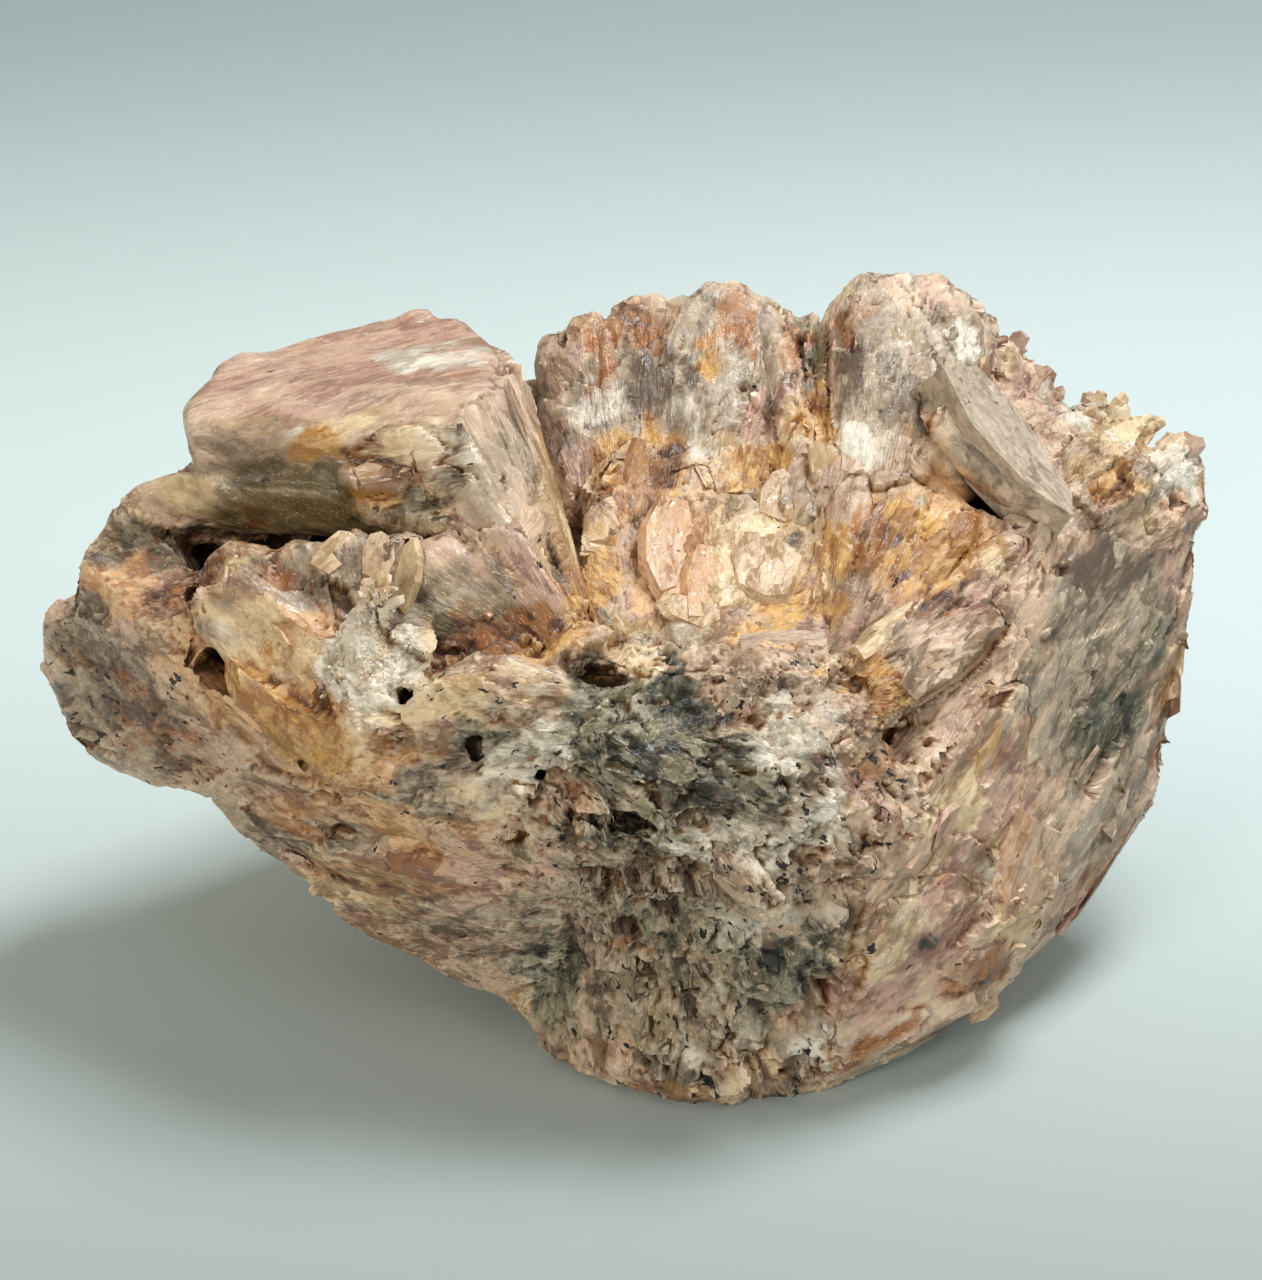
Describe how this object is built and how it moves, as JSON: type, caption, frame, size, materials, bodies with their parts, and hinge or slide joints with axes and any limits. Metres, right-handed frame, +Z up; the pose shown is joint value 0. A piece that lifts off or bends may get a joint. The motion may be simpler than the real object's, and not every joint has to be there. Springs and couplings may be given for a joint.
{
  "type": "barite crystal cluster",
  "caption": "Cluster of pink and grey bladed barite crystals grown together, with a fan of plates opening above a porous, pitted front; rests on a narrow foot.",
  "frame": {"origin": "middle of the bounding box's footprint, on the ground", "axes": "+Z up, +X along the longest side, -Y towards the side that shows the fan and the porous front"},
  "size_m": [0.2023, 0.1162, 0.1035],
  "materials": {
    "barite": "satin cleavage faces, dull porous matrix"
  },
  "bodies": {
    "root": {"barite_cluster": "barite"}
  },
  "joints": []
}
